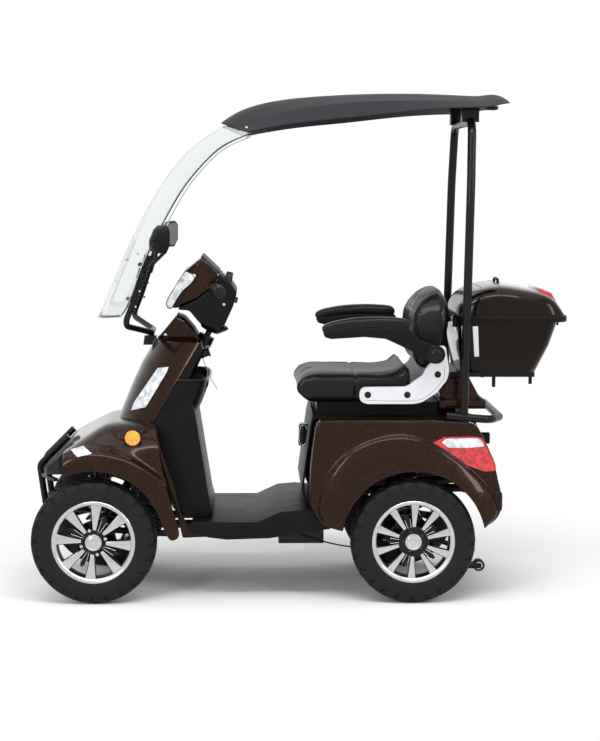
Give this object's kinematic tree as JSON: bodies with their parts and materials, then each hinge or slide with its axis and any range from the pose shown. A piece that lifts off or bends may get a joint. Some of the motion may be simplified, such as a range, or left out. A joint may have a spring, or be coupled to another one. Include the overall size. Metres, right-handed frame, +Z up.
{
  "type": "roofed mobility scooter",
  "caption": "Four-wheel mobility scooter with a roof and a clear screen, spoked wheels, steering tiller, seat with folding armrests, and a rear box with a lid.",
  "frame": {"origin": "on the floor, under the middle of the bounding box", "axes": "+X forward, +Y to the rider's left, +Z up"},
  "size_m": [1.757, 0.7032, 1.6615],
  "materials": {
    "brown_gloss": "metallic dark brown, clear coated",
    "black_plastic": "fine grained",
    "roof_plastic": "textured dark grey",
    "black_steel": "satin black coat",
    "silver_paint": "silver-white coat",
    "rim_alloy": "painted silver",
    "tyre_rubber": "matt",
    "roller_rubber": "matt",
    "seat_leather": "grained, stitched",
    "clear_screen": "clear",
    "lamp_clear": "silvery lens",
    "lamp_amber": "amber lens",
    "lamp_red": "red lens",
    "mirror_silver": "mirrored",
    "battery_case": "plain"
  },
  "bodies": {
    "chassis": {"leg_shield": "brown_gloss", "upper_cowl": "brown_gloss", "front_hood": "brown_gloss", "rear_side_panels": "brown_gloss", "tail_cover": "brown_gloss", "top_box_body": "brown_gloss", "footboard": "black_plastic", "inner_panel": "black_plastic", "front_pocket": "black_plastic", "nose_cap": "black_plastic", "seat_base_front": "black_plastic", "seat_pedestal": "black_plastic", "tail_panel": "black_plastic", "mirror_housings": "black_plastic", "roof_shell": "roof_plastic", "underframe": "black_steel", "front_axle": "black_steel", "rear_axle": "black_steel", "front_guard": "black_steel", "rear_rail": "black_steel", "roof_posts": "black_steel", "screen_frame": "black_steel", "box_rack": "black_steel", "anti_tip_frame": "black_steel", "shock_absorbers": "black_steel", "seat_side_brackets": "silver_paint", "brake_cable": "roller_rubber", "seat_cushion": "seat_leather", "seat_back": "seat_leather", "windshield": "clear_screen", "front_lamps": "lamp_clear", "indicator_lamps": "lamp_amber", "tail_lamps": "lamp_red", "mirror_glasses": "mirror_silver", "battery_block": "battery_case"},
    "steering": {"steering_shaft": "black_steel", "head_cowl": "brown_gloss", "head_console": "black_plastic", "headlight": "lamp_clear", "handlebar": "black_steel"},
    "knuckle_left": {"knuckle_left": "black_steel"},
    "knuckle_right": {"knuckle_right": "black_steel"},
    "tie_rod": {"tie_rod": "black_steel"},
    "box_lid": {"box_lid": "brown_gloss", "box_lens": "lamp_red"},
    "armrest_left": {"armrest_left": "black_plastic"},
    "armrest_right": {"armrest_right": "black_plastic"},
    "anti_tip_left": {"anti_tip_wheel_left": "roller_rubber"},
    "anti_tip_right": {"anti_tip_wheel_right": "roller_rubber"},
    "wheel_front_left": {"tyre_front_left": "tyre_rubber", "rim_front_left": "rim_alloy"},
    "wheel_front_right": {"tyre_front_right": "tyre_rubber", "rim_front_right": "rim_alloy"},
    "wheel_rear_left": {"tyre_rear_left": "tyre_rubber", "rim_rear_left": "rim_alloy"},
    "wheel_rear_right": {"tyre_rear_right": "tyre_rubber", "rim_rear_right": "rim_alloy"}
  },
  "joints": [
    {"name": "steering_turn", "type": "hinge", "parent": "chassis", "child": "steering", "pos_m": [0.3105, 0, 0.853], "axis": [-0.4226, 0, 0.9063], "range_deg": [-35, 35]},
    {"name": "knuckle_left_turn", "type": "hinge", "parent": "chassis", "child": "knuckle_left", "pos_m": [0.6735, 0.232, 0.205], "axis": [0, 0, 1], "range_deg": [-35, 35]},
    {"name": "knuckle_right_turn", "type": "hinge", "parent": "chassis", "child": "knuckle_right", "pos_m": [0.6735, -0.232, 0.205], "axis": [0, 0, 1], "range_deg": [-35, 35]},
    {"name": "tie_rod_turn", "type": "hinge", "parent": "knuckle_left", "child": "tie_rod", "pos_m": [0.5935, 0.232, 0.177], "axis": [0, 0, 1], "range_deg": [-35, 35]},
    {"name": "wheel_front_left_spin", "type": "hinge", "parent": "knuckle_left", "child": "wheel_front_left", "pos_m": [0.6735, 0.28, 0.205], "axis": [0, 1, 0], "continuous": true},
    {"name": "wheel_rear_left_spin", "type": "hinge", "parent": "chassis", "child": "wheel_rear_left", "pos_m": [-0.3665, 0.28, 0.205], "axis": [0, 1, 0], "continuous": true},
    {"name": "armrest_left_lift", "type": "hinge", "parent": "chassis", "child": "armrest_left", "pos_m": [-0.4325, 0.291, 0.819], "axis": [0, -1, 0], "range_deg": [0, 65]},
    {"name": "anti_tip_left_spin", "type": "hinge", "parent": "chassis", "child": "anti_tip_left", "pos_m": [-0.6045, 0.128, 0.088], "axis": [0, 1, 0], "continuous": true},
    {"name": "wheel_front_right_spin", "type": "hinge", "parent": "knuckle_right", "child": "wheel_front_right", "pos_m": [0.6735, -0.28, 0.205], "axis": [0, 1, 0], "continuous": true},
    {"name": "wheel_rear_right_spin", "type": "hinge", "parent": "chassis", "child": "wheel_rear_right", "pos_m": [-0.3665, -0.28, 0.205], "axis": [0, 1, 0], "continuous": true},
    {"name": "armrest_right_lift", "type": "hinge", "parent": "chassis", "child": "armrest_right", "pos_m": [-0.4325, -0.291, 0.819], "axis": [0, -1, 0], "range_deg": [0, 65]},
    {"name": "anti_tip_right_spin", "type": "hinge", "parent": "chassis", "child": "anti_tip_right", "pos_m": [-0.6045, -0.128, 0.088], "axis": [0, 1, 0], "continuous": true},
    {"name": "box_lid_lift", "type": "hinge", "parent": "chassis", "child": "box_lid", "pos_m": [-0.5135, 0, 0.925], "axis": [0, 1, 0], "range_deg": [0, 30]}
  ],
  "couplings": [
    {"joint": "knuckle_left_turn", "follows": "steering_turn", "ratio": 1},
    {"joint": "knuckle_right_turn", "follows": "steering_turn", "ratio": 1},
    {"joint": "tie_rod_turn", "follows": "steering_turn", "ratio": -1}
  ]
}
